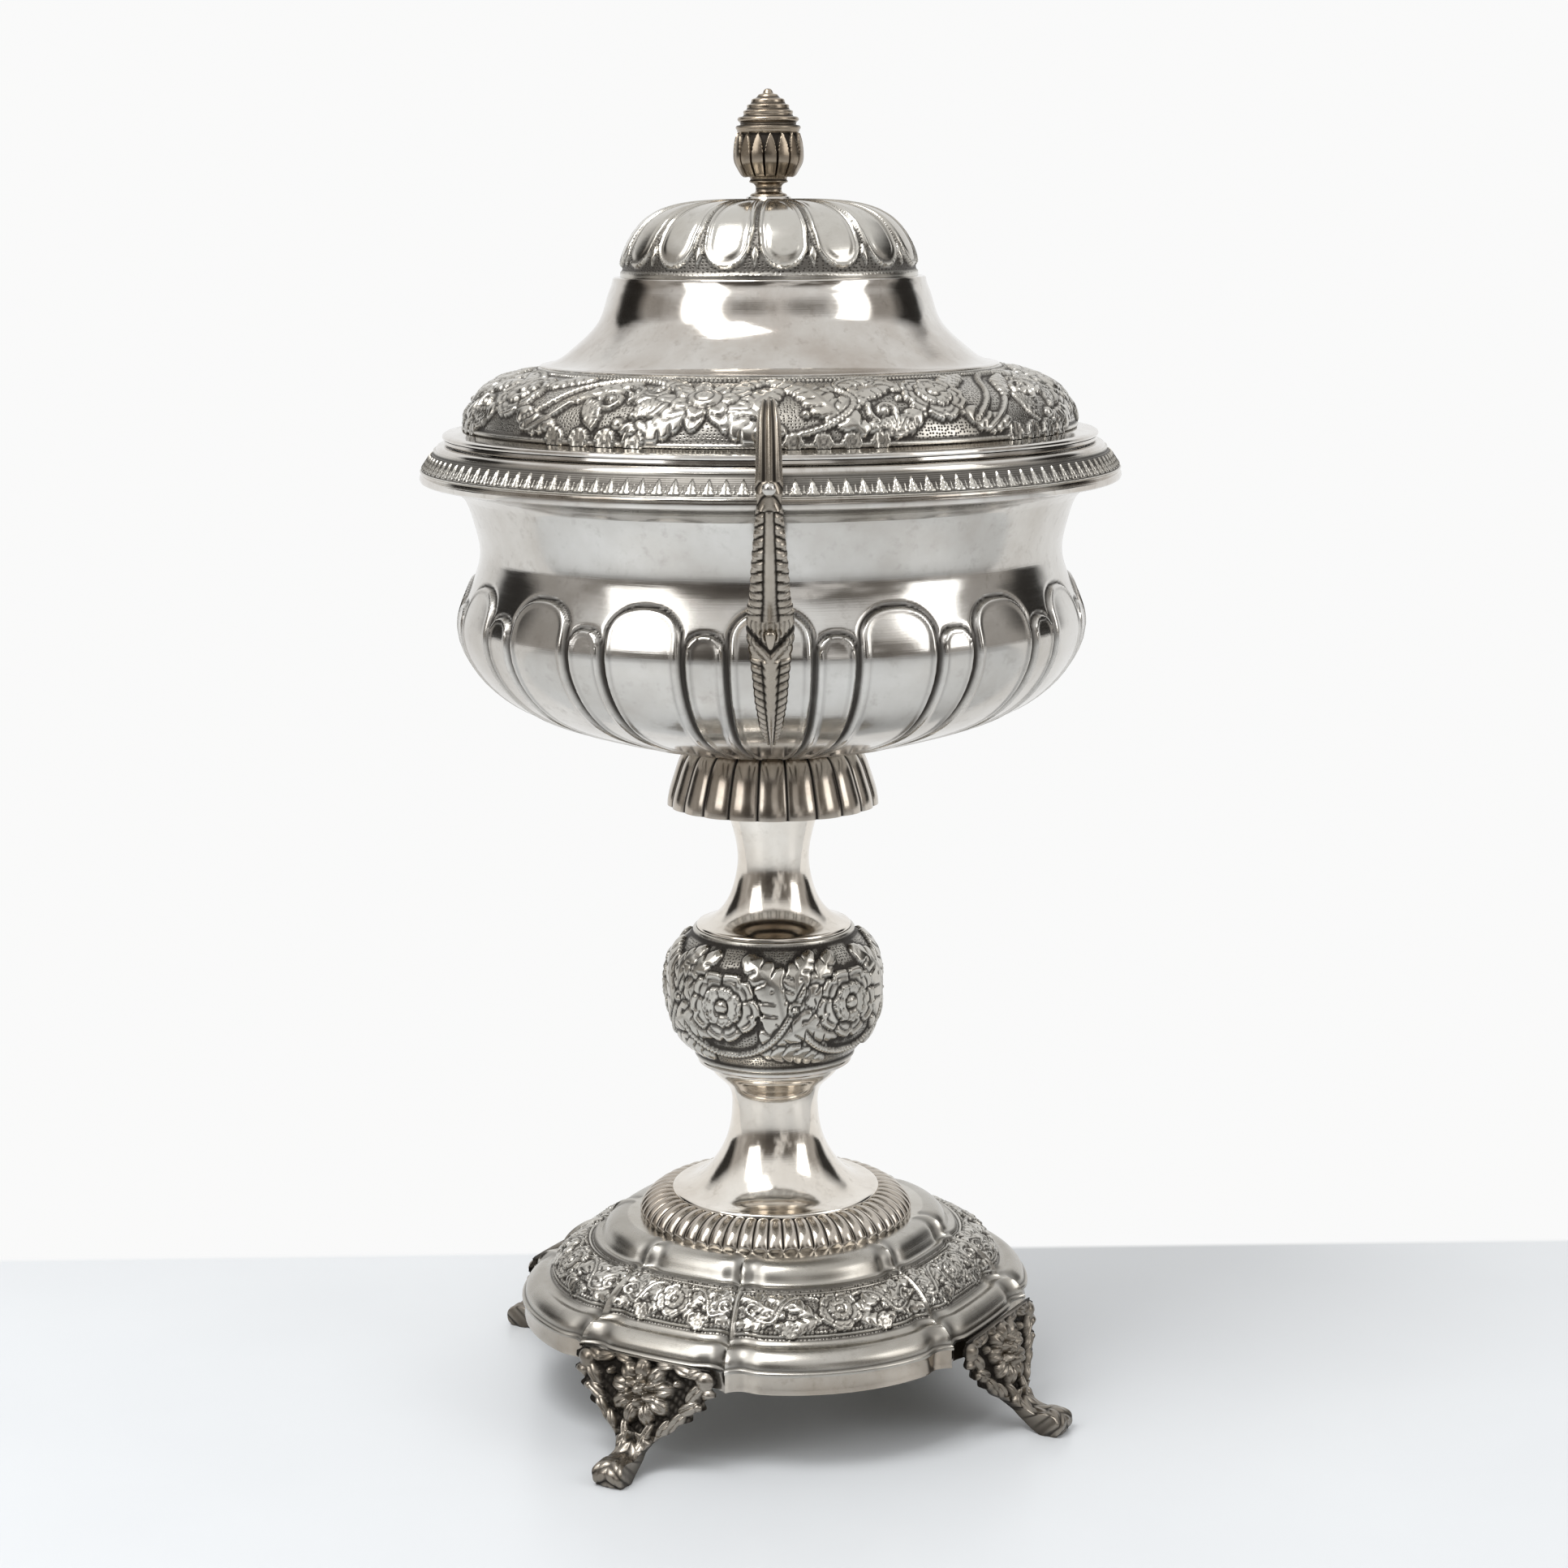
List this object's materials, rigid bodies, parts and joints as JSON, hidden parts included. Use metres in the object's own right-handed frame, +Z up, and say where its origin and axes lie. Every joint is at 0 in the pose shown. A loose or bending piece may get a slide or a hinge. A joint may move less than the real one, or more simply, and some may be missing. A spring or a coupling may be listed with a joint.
{
  "type": "covered two-handled bowl",
  "caption": "Tall covered silver bowl on a spool stem with a round knop, scroll handles, a lift-off domed lid and a stepped base on cast feet.",
  "frame": {"origin": "on the floor under the tie rod's axis, at the middle of the feet", "axes": "+Z up along the tie rod, handles on -Y and +Y"},
  "size_m": [0.1892, 0.2252, 0.3599],
  "materials": {
    "silver_sheet": "polished silver sheet, warm tarnish",
    "silver_raised": "polished silver raised in lobes and flutes, dark oxide in the grooves",
    "silver_chased": "silver chased with flowers and scrolls on a dark punched ground",
    "silver_cast": "cast silver, brown tarnish, black in the hollows",
    "steel_fittings": "plain turned metal, dull"
  },
  "bodies": {
    "base": {"base_shell": "silver_chased", "base_apron": "silver_chased", "foot_front_left": "silver_cast", "foot_front_right": "silver_cast", "foot_back_right": "silver_cast", "foot_back_left": "silver_cast", "gadroon_ring": "silver_raised", "lower_stem": "silver_sheet", "knop_ring": "silver_sheet", "knop": "silver_chased", "upper_stem": "silver_sheet", "tie_washer": "steel_fittings", "tie_nut": "steel_fittings"},
    "bowl": {"bowl_body": "silver_raised", "bowl_neck": "silver_sheet", "rim_seat": "silver_sheet", "rim_lip": "silver_sheet", "leaf_band": "silver_chased", "rim_wire": "silver_sheet", "handle_front": "silver_cast", "handle_back": "silver_cast", "handle_bead_front": "silver_cast", "handle_bead_back": "silver_cast", "calyx": "silver_raised", "bowl_boss": "steel_fittings", "tie_rod": "steel_fittings"},
    "lid": {"lid_bezel": "silver_sheet", "lid_wire": "silver_sheet", "lid_brim": "silver_sheet", "lid_band": "silver_chased", "lid_neck": "silver_sheet", "lid_dome": "silver_raised", "finial_collar": "silver_sheet", "finial": "silver_cast", "finial_nut": "steel_fittings"}
  },
  "joints": [
    {"name": "bowl_turn", "type": "hinge", "parent": "base", "child": "bowl", "pos_m": [0, 0, 0.18285], "axis": [0, 0, 1], "continuous": true},
    {"name": "lid_lift", "type": "slide", "parent": "bowl", "child": "lid", "axis": [0, 0, 1], "range_m": [0, 0.06]}
  ]
}
